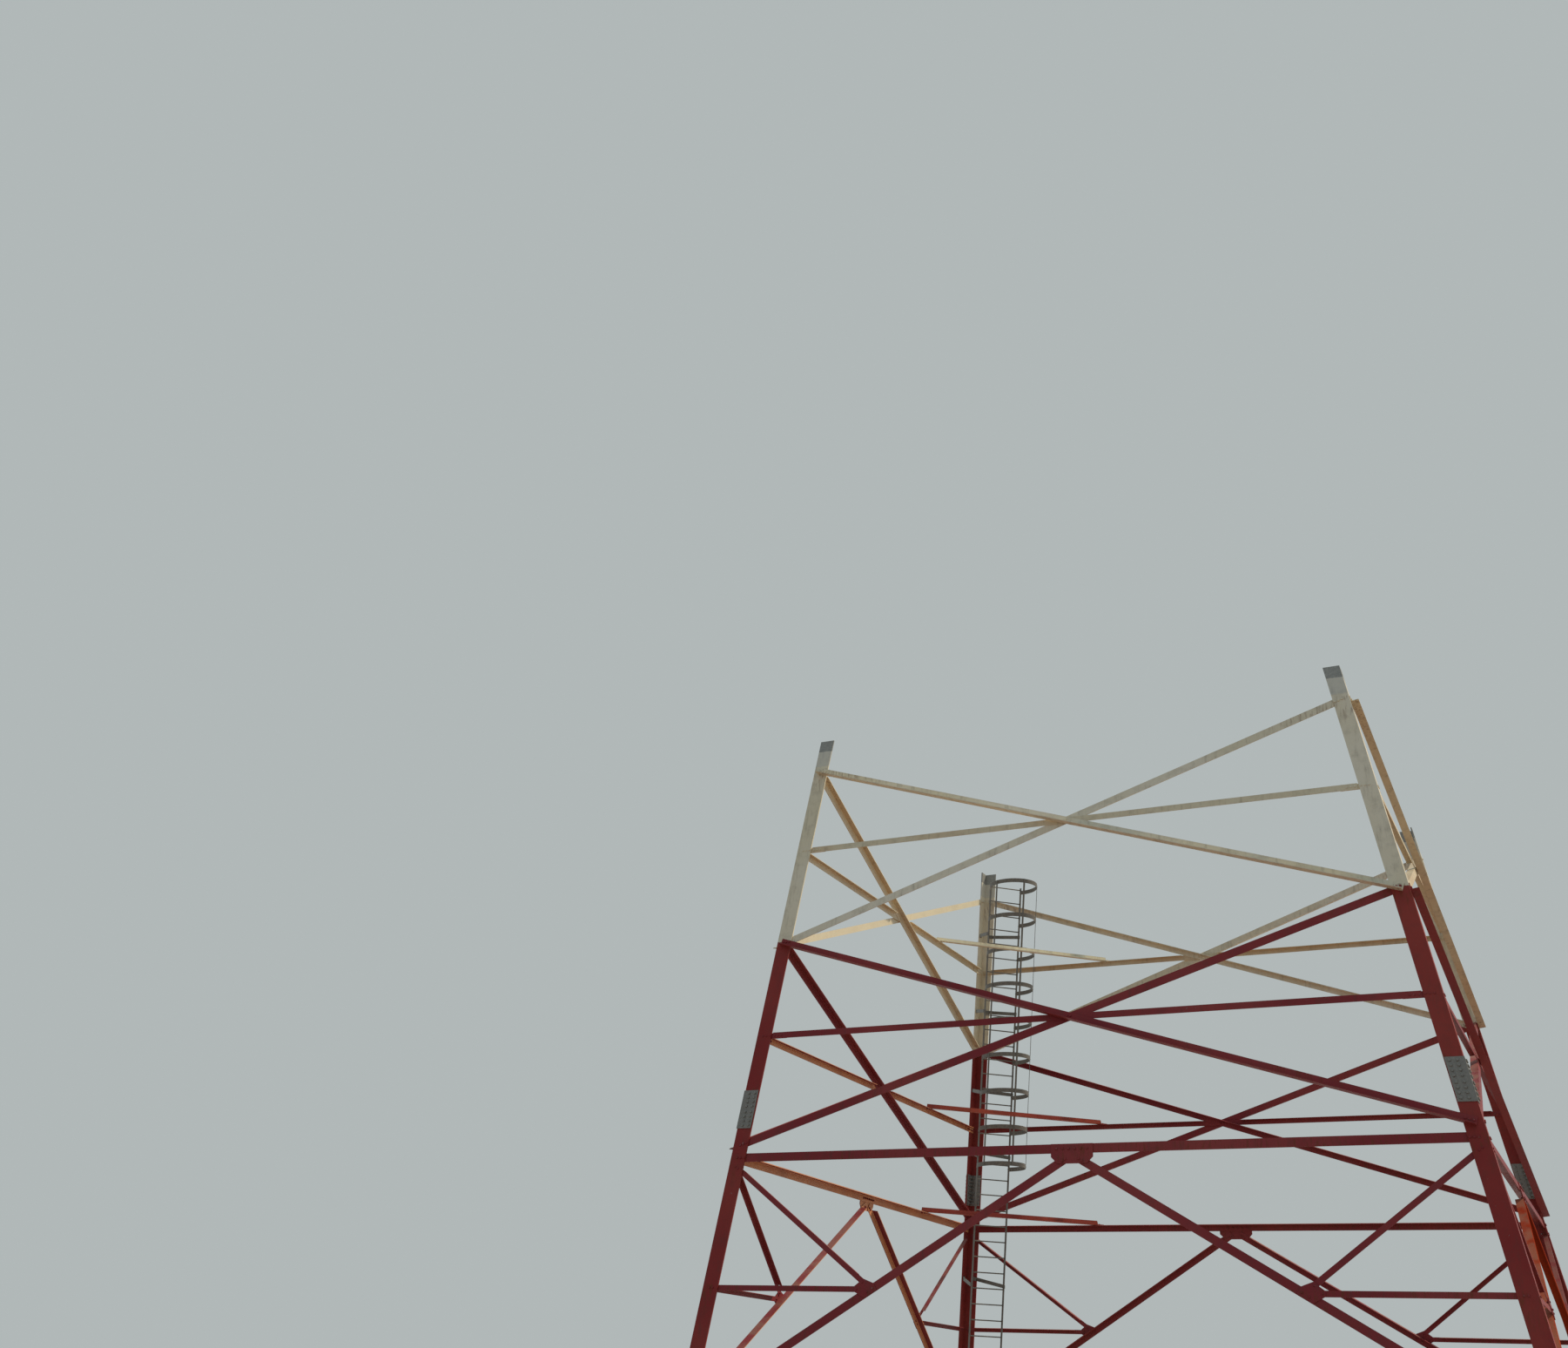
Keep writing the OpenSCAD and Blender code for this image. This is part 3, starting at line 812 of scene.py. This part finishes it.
def make_lug():
    """Small plate with clipped corners, which is bolted to a rail behind a hoop's end."""
    bpy.ops.mesh.primitive_cube_add(size=1)
    lug = bpy.context.object
    lug.scale = (LUG_L, LUG_B, LUG_T)
    lug.location = (0, 0, LUG_T / 2)
    bpy.ops.object.transform_apply(location=True, scale=True)
    bpy.ops.object.mode_set(mode="EDIT")
    bpy.ops.mesh.select_mode(type="EDGE")
    bpy.ops.mesh.select_all(action="DESELECT")
    mesh = bmesh.from_edit_mesh(lug.data)
    for edge in mesh.edges:
        a, b = (v.co for v in edge.verts)
        edge.select_set(abs(a.z - b.z) > LUG_T / 2)
    bmesh.update_edit_mesh(lug.data)
    bpy.ops.mesh.bevel(offset=LUG_CORNER, segments=LUG_CORNER_STEPS, affect="EDGES")
    bpy.ops.object.mode_set(mode="OBJECT")
    return lug


def make_ripple():
    """One ripple of a weld bead that runs along X."""
    segments, rings = RIPPLE_MESH
    bpy.ops.mesh.primitive_uv_sphere_add(segments=segments, ring_count=rings, radius=1)
    ripple = bpy.context.object
    ripple.scale = RIPPLE_SIZE
    bpy.ops.object.transform_apply(scale=True)
    pick(ripple, lambda centre, normal: normal.x > RIPPLE_FRONT)
    bpy.ops.transform.resize(value=RIPPLE_TAPER)
    bpy.ops.object.mode_set(mode="OBJECT")
    return ripple


def make_rung_weld():
    """Ring of weld round a rung, where it meets the rail."""
    major, minor = RUNG_WELD_MESH
    bpy.ops.mesh.primitive_torus_add(major_radius=RUNG_R + RUNG_WELD_OUT, minor_radius=RUNG_WELD_R,
                                     major_segments=major, minor_segments=minor)
    ring = bpy.context.object
    pick(ring, lambda centre, normal: normal.z > WELD_TOP)
    bpy.ops.transform.resize(value=RUNG_WELD_TAPER)
    bpy.ops.object.mode_set(mode="OBJECT")
    return ring


# Places of the fasteners: each end is a pair of its kind, head or nut, and its matrix

TO_HEAD = turned("X", math.pi / 2)
TO_NUT = turned("X", -math.pi / 2)


def bolt(space, x, v, head_y, nut_y, thread):
    """A bolt through plates that lie across Y, its head at one face and its nut at the other."""
    size = Matrix.Scale(thread / M20, 4)
    ends = []
    for kind, y, turn in (("head", head_y, TO_HEAD), ("nut", nut_y, TO_NUT)):
        spin = turned("Z", chance.uniform(0, math.tau))
        ends.append((kind, space @ Matrix.Translation((x, y, v)) @ turn @ spin @ size))
    return ends


def mirrored(space, points, head_y, nut_y, thread):
    """Bolts at the points and at their mirror images about the side's middle."""
    ends = []
    for x, v in points:
        ends += bolt(space, x, v, head_y, nut_y, thread)
        ends += bolt(space, -x, v, head_y, nut_y, thread)
    return ends


def end_points(z0, z1, row, shift):
    """Row of bolts of the bar from the right seat at z0 to the left one at z1."""
    start, other = seat(z0), seat(z1)
    turn = math.atan2(other.y - start.y, -other.x - start.x)
    return [start + polar(turn, a, shift) for a in row]


def leg_joint_bolts(space, z0, z1):
    """Ends at z0 of the crossed pair between z0 and z1.

    The outer brace is on the right at the pair's lower level, and on the left at its upper one.
    """
    outer = 1 if z0 < z1 else -1
    ends = []
    for x, v in end_points(z0, z1, END_ROW, -CLEAR_OF_FLANGE):
        ends += bolt(space, outer * x, v, -BRACE_T, LEG_T, M20)
    for x, v in end_points(z0, z1, END_ROW, CLEAR_OF_FLANGE):
        ends += bolt(space, -outer * x, v, 0, LEG_T + BRACE_T, M20)
    return ends


def shared_joint_bolts(space):
    """Row through the outer brace, the leg and the inner brace at the middle level."""
    x, v = seat(MID_Z)
    points = [(x - a, v + CLEAR_OF_FLANGE) for a in END_ROW]
    return mirrored(space, points, -BRACE_T, LEG_T + BRACE_T, M20)


def crossing_bolts(space, z0, z1):
    """Two bolts where the braces cross, through both of them and the tie between."""
    return mirrored(space, [(CROSSING_OUT, crossing(z0, z1))], -BRACE_T, LEG_T + BRACE_T, M20)


def threaded_tie_bolts(space, z0, z1):
    """Bolts of a light tie's end plates, on the legs and on the tie."""
    v = crossing(z0, z1)
    middle = v - TIE_T / 2
    reach = half(v) - LEG_B / math.cos(CORNER_TILT) - 2 * EDGE_GAP
    on_leg = [(in_from_corner(v, d), middle) for d in TIE_LEG_ROW]
    on_tie = [(reach - d, middle) for d in TIE_PLATE_ROW]
    return (mirrored(space, on_leg, 0, LEG_T + GUSSET_T, M16)
            + mirrored(space, on_tie, LEG_T - TIE_T, LEG_T + GUSSET_T, M16))


def main_tie_bolts(space):
    """Bolts of the main tie, on the legs and on the main gusset."""
    x, v = seat(MAIN_Z)
    level = v - CLEAR_OF_FLANGE
    on_leg = [(x - a, level) for a in END_ROW]
    on_gusset = [(a, level) for a in MAIN_GUSSET_ROW]
    return (mirrored(space, on_leg, 0, LEG_T + MAIN_T, M20)
            + mirrored(space, on_gusset, LEG_T - GUSSET_T, LEG_T + MAIN_T, M20))


def parting(h0, h1, turn):
    """Distance from their crossing at which two bars of half widths h0 and h1 part."""
    return (h0 + h1 * math.cos(turn)) / math.sin(turn) + EDGE_GAP


def foot_bolts(space):
    """Both ends of the foot braces, and the struts that meet them."""
    work = Vector((0, up(MAIN_Z) - WORK_DROP))
    foot = seat(FOOT_Z)
    slope = (work.y - foot.y) / foot.x
    angle = math.atan(slope)
    strut = Vector(((work.y - up(STRUT_Z)) / slope, up(STRUT_Z)))
    end = seat(MAIN_Z - MAIN_B / 2 - STRUT_B)
    rake = math.atan2(end.y - strut.y, end.x - strut.x)
    level_start = parting(BRACE_B / 2, STRUT_B / 2, angle)
    rake_start = max(parting(STRUT_B / 2, STRUT_B / 2, rake),
                     parting(BRACE_B / 2, STRUT_B / 2, angle + rake))
    tops = [work + polar(-angle, a, -CLEAR_OF_FLANGE) for a in FOOT_BRACE_ROW]
    toes = [foot + polar(math.pi - angle, a, CLEAR_OF_FLANGE) for a in END_ROW]
    on_leg = [seat(STRUT_Z) - Vector((a, CLEAR_OF_THIN_FLANGE)) for a in STRUT_ROW]
    on_leg += [end + polar(math.pi + rake, a, CLEAR_OF_THIN_FLANGE) for a in STRUT_ROW]
    on_plate = [strut + Vector((level_start + STRUT_PLATE_IN, -CLEAR_OF_THIN_FLANGE)),
                strut + polar(rake, rake_start + STRUT_PLATE_IN, -CLEAR_OF_THIN_FLANGE)]
    on_brace = [strut + polar(-angle, a, -CLEAR_OF_THIN_FLANGE) for a in BRACE_PLATE_ROW]
    return (mirrored(space, tops, LEG_T - GUSSET_T, LEG_T + BRACE_T, M20)
            + mirrored(space, toes, 0, LEG_T + BRACE_T, M20)
            + mirrored(space, on_leg, 0, LEG_T + TIE_T, M16)
            + mirrored(space, on_plate, LEG_T - GUSSET_T, LEG_T + TIE_T, M16)
            + mirrored(space, on_brace, LEG_T - GUSSET_T, LEG_T + BRACE_T, M16))


def splice_bolts(space):
    """Bolts through the cover angles, outside and inside."""
    points = []
    for row in SPLICE_ROWS:
        v = up(SPLICE_Z) + row
        points += [(in_from_corner(v, d), v) for d in SPLICE_COLUMNS]
    return mirrored(space, points, -COVER_T, LEG_T + COVER_T, M24)


def corner_tie_bolts(v, tie_b, tie_t, depth):
    """Two bolts at each end of a corner tie, down through the flanges of the ties that carry it."""
    seat_v = v + tie_b / 2
    low = seat_v * math.cos(TILT) - (depth + tie_b / 2) * math.sin(TILT)
    front = (HOOP_IN + STRAP_R) / math.cos(LADDER_TILT) + CORNER_GAP
    y_corner = front + LEAN * math.sqrt(2) * (low + CORNER_B) + CORNER_TIE_IN
    size = Matrix.Scale(M16 / M20, 4)
    ends = []
    for inward in CORNER_TIE_ROW:
        y = depth + inward
        z = seat_v * math.cos(TILT) - y * math.sin(TILT)
        inset = y * math.cos(TILT) + seat_v * math.sin(TILT)
        x = BASE_W / 2 - (math.sqrt(2) * y_corner - inset)
        for i, sign in ((LADDER_CORNER, -1), (LADDER_CORNER - 1, 1)):
            space = upright_frame(i)
            top = space @ Matrix.Translation((sign * x, inset, low + CORNER_SEAT_T)) @ size
            nut = space @ Matrix.Translation((sign * x, inset, z - tie_t / math.cos(TILT)))
            ends += [("head", top), ("nut", nut @ turned("X", math.pi - TILT) @ size)]
    return ends


def bracket_levels():
    """Levels of the ladder's brackets, each midway between two neighbours in the framing."""
    low_cross = crossing(BRACE_Z, MID_Z) * math.cos(TILT)
    high_cross = crossing(MID_Z, HIGH_Z) * math.cos(TILT)
    neighbours = [
        (FOOT_Z, STRUT_Z),
        (STRUT_Z, MAIN_Z),
        (SPLICE_Z + SPLICE_LEN / 2, low_cross),
        (low_cross, MID_Z),
        (MID_Z, high_cross),
        (high_cross, HIGH_Z),
    ]
    return [(a + b) / 2 for a, b in neighbours]


def rung_heights():
    first = on_ladder(LADDER_LOW) + RUNG_STEP / 2
    last = on_ladder(TOP_Z - LADDER_SHORT) - RUNG_R
    return [first + RUNG_STEP * k for k in range(int((last - first) / RUNG_STEP) + 1)]


def bracket_bolts():
    """Bolts of the stand-off brackets: two through the leg flange, one or two through the rail."""
    leaning = leaning_frame(LADDER_CORNER)
    ends = []
    for level in bracket_levels():
        middle = along(level) + BRACKET_B / 2
        for d in BRACKET_COLUMNS:
            z = middle * math.cos(LADDER_TILT) - d * math.sqrt(0.5) * math.sin(LADDER_TILT)
            v = up(z) + LEG_T * math.tan(TILT)
            x = in_from_corner(v, d)
            foot_y = LEG_T + FLUSH + BRACKET_T
            ends += bolt(side_frame(LADDER_CORNER), -x, v, 0, foot_y, M16)
            ends += bolt(side_frame(LADDER_CORNER - 1), x, v, 0, foot_y, M16)
        for rise in BRACKET_ROWS:
            if min(abs(middle + rise - rung) for rung in rung_heights()) > RUNG_R + CLEAR_OF_RUNG:
                ends += rail_bolts(leaning, LADDER_IN, middle + rise, RAIL_X + BRACKET_T)
    return ends


def rail_bolts(leaning, y, w, outer_x):
    """Bolts through both rails, heads outside."""
    ends = []
    for sign in (-1, 1):
        across = leaning @ turned("Z", math.pi / 2 * sign)
        ends += bolt(across, sign * y, w, -outer_x, -LADDER_W / 2, M12)
    return ends


def hoop_levels():
    count = int((TOP_Z - LADDER_SHORT - HOOP_B - HOOP_LOW) / HOOP_STEP + 1e-6) + 1
    return [HOOP_LOW + HOOP_STEP * k for k in range(count)]


def lug_places():
    """Both lugs of each hoop, on the outer faces of the rails, level with the hoop's end."""
    leaning = leaning_frame(LADDER_CORNER)
    y = LADDER_IN + RAIL_D / 2 - LUG_L / 2 - LUG_BACK
    places = []
    for level in hoop_levels():
        w = along(level + HOOP_B / 2) + y * math.tan(LADDER_TILT)
        for sign in (-1, 1):
            spot = leaning @ Matrix.Translation((sign * RAIL_X, y, w))
            face = spot @ turned("Y", sign * math.pi / 2) @ turned("Z", math.pi / 2)
            places.append((face, y, w))
    return places


def hoop_bolts():
    """Bolts through the lugs and the rails, and small ones where the straps cross the hoops."""
    leaning = leaning_frame(LADDER_CORNER)
    ends = []
    for _, y, w in lug_places()[::2]:
        ends += rail_bolts(leaning, y - LUG_BOLT_BACK, w, RAIL_X + LUG_T)
    middle = leaning @ Matrix.Translation((0, HOOP_IN, 0))
    for level in hoop_levels():
        for turn in STRAP_TURNS:
            y = HOOP_IN + STRAP_R * math.cos(math.radians(turn))
            w = along(level + HOOP_B / 2) + y * math.tan(LADDER_TILT)
            space = middle @ turned("Z", math.radians(turn) + math.pi)
            ends += bolt(space, 0, w, -STRAP_R, -HOOP_R, M10)
    return ends


def anchor_places():
    middle = BASE_W / 2 - LEAN * PLATE_T - LEG_B / 2
    offset = ANCHOR_SPACE / 2
    return [Matrix.Translation((sx * middle + ax * offset, sy * middle + ay * offset, PLATE_T))
            for sx in (-1, 1) for sy in (-1, 1) for ax in (-1, 1) for ay in (-1, 1)]


# Pieces

def fasten(name, ends, finish):
    """Copies the masters to the given ends and joins them."""
    copies = [copy_to(masters[kind], place) for kind, place in ends]
    finish_piece(join(copies), name, finish)


def make_bolts():
    """All bolts, a piece for each side's panels and for each kind of other joint."""
    for i, name in enumerate(("front", "right", "back", "left")):
        space = side_frame(i)
        low = (leg_joint_bolts(space, BRACE_Z, MID_Z) + crossing_bolts(space, BRACE_Z, MID_Z)
               + threaded_tie_bolts(space, BRACE_Z, MID_Z) + main_tie_bolts(space) + foot_bolts(space)
               + shared_joint_bolts(space))
        fasten(name + "_lower_bolts", low, "red_bolt")
        high = (leg_joint_bolts(space, HIGH_Z, MID_Z) + crossing_bolts(space, MID_Z, HIGH_Z)
                + threaded_tie_bolts(space, MID_Z, HIGH_Z))
        fasten(name + "_upper_bolts", high, "cream_bolt")
    splices = sum((splice_bolts(side_frame(i)) for i in range(4)), [])
    fasten("splice_bolts", splices, "zinc_bolt")
    ties = (("upper", crossing(MID_Z, HIGH_Z), TIE_B, TIE_T, LEG_T - TIE_T, "cream_bolt"),
            ("middle", crossing(BRACE_Z, MID_Z), TIE_B, TIE_T, LEG_T - TIE_T, "red_bolt"),
            ("lower", up(MAIN_Z), MAIN_B, MAIN_T, LEG_T, "red_bolt"))
    for name, v, tie_b, tie_t, depth, finish in ties:
        ends = corner_tie_bolts(v, tie_b, tie_t, depth)
        fasten(name + "_corner_tie_bolts", ends, finish)
    fasten("ladder_bracket_bolts", bracket_bolts(), "zinc_bolt")
    fasten("cage_bolts", hoop_bolts(), "zinc_bolt")


def spread(master, places):
    """Copies the master to its places, removes it and joins the copies."""
    copies = [copy_to(master, place) for place in places]
    bpy.data.objects.remove(master)
    return join(copies)


def make_anchors():
    places = [place @ turned("Z", chance.uniform(0, math.tau)) for place in anchor_places()]
    finish_piece(spread(make_anchor(), places), "anchor_bolts", "zinc_bolt")


def make_lugs():
    places = [place for place, _, _ in lug_places()]
    finish_piece(spread(make_lug(), places), "hoop_lugs", "ladder")


def ripple_places(a, b):
    """Places of the overlapping ripples of a weld bead from a to b, each of a size of its own."""
    run = b - a
    turn = run.to_track_quat("X", "Z").to_matrix().to_4x4()
    places = []
    for k in range(int(run.length / RIPPLE_PITCH) + 1):
        size = Matrix.Scale(chance.uniform(*RIPPLE_SPREAD), 4)
        place = Matrix.Translation(a + run.normalized() * k * RIPPLE_PITCH)
        places.append(place @ turn @ size)
    return places


def make_foot_welds():
    """Weld beads round the foot of each leg angle, on its base plate."""
    corner = BASE_W / 2 - LEAN * PLATE_T
    outline = [(0, 0), (LEG_B, 0), (LEG_B, LEG_T), (LEG_T, LEG_T), (LEG_T, LEG_B), (0, LEG_B)]
    places = []
    for i in range(4):
        space = turned("Z", math.pi / 2 * i) @ Matrix.Translation((-corner, -corner, PLATE_T))
        points = [space @ Vector((x, y, 0)) for x, y in outline]
        for a, b in zip(points, points[1:] + points[:1]):
            places += ripple_places(a, b)
    finish_piece(spread(make_ripple(), places), "foot_welds", "plate")


def make_rung_welds():
    """Welds where the rungs meet the rails."""
    leaning = leaning_frame(LADDER_CORNER)
    places = []
    for w in rung_heights():
        for sign in (-1, 1):
            place = leaning @ Matrix.Translation((sign * LADDER_W / 2, LADDER_IN, w))
            places.append(place @ turned("Y", -sign * math.pi / 2))
    finish_piece(spread(make_rung_weld(), places), "rung_welds", "ladder")


make_camera()
make_light()
make_world()
make_floor()
finishes = make_finishes()
dress_nodes()

masters = {"head": make_head(), "nut": make_nut()}
make_bolts()
for master in masters.values():
    bpy.data.objects.remove(master)
make_anchors()
make_lugs()
make_foot_welds()
make_rung_welds()

bpy.context.scene.view_settings.view_transform = "Standard"
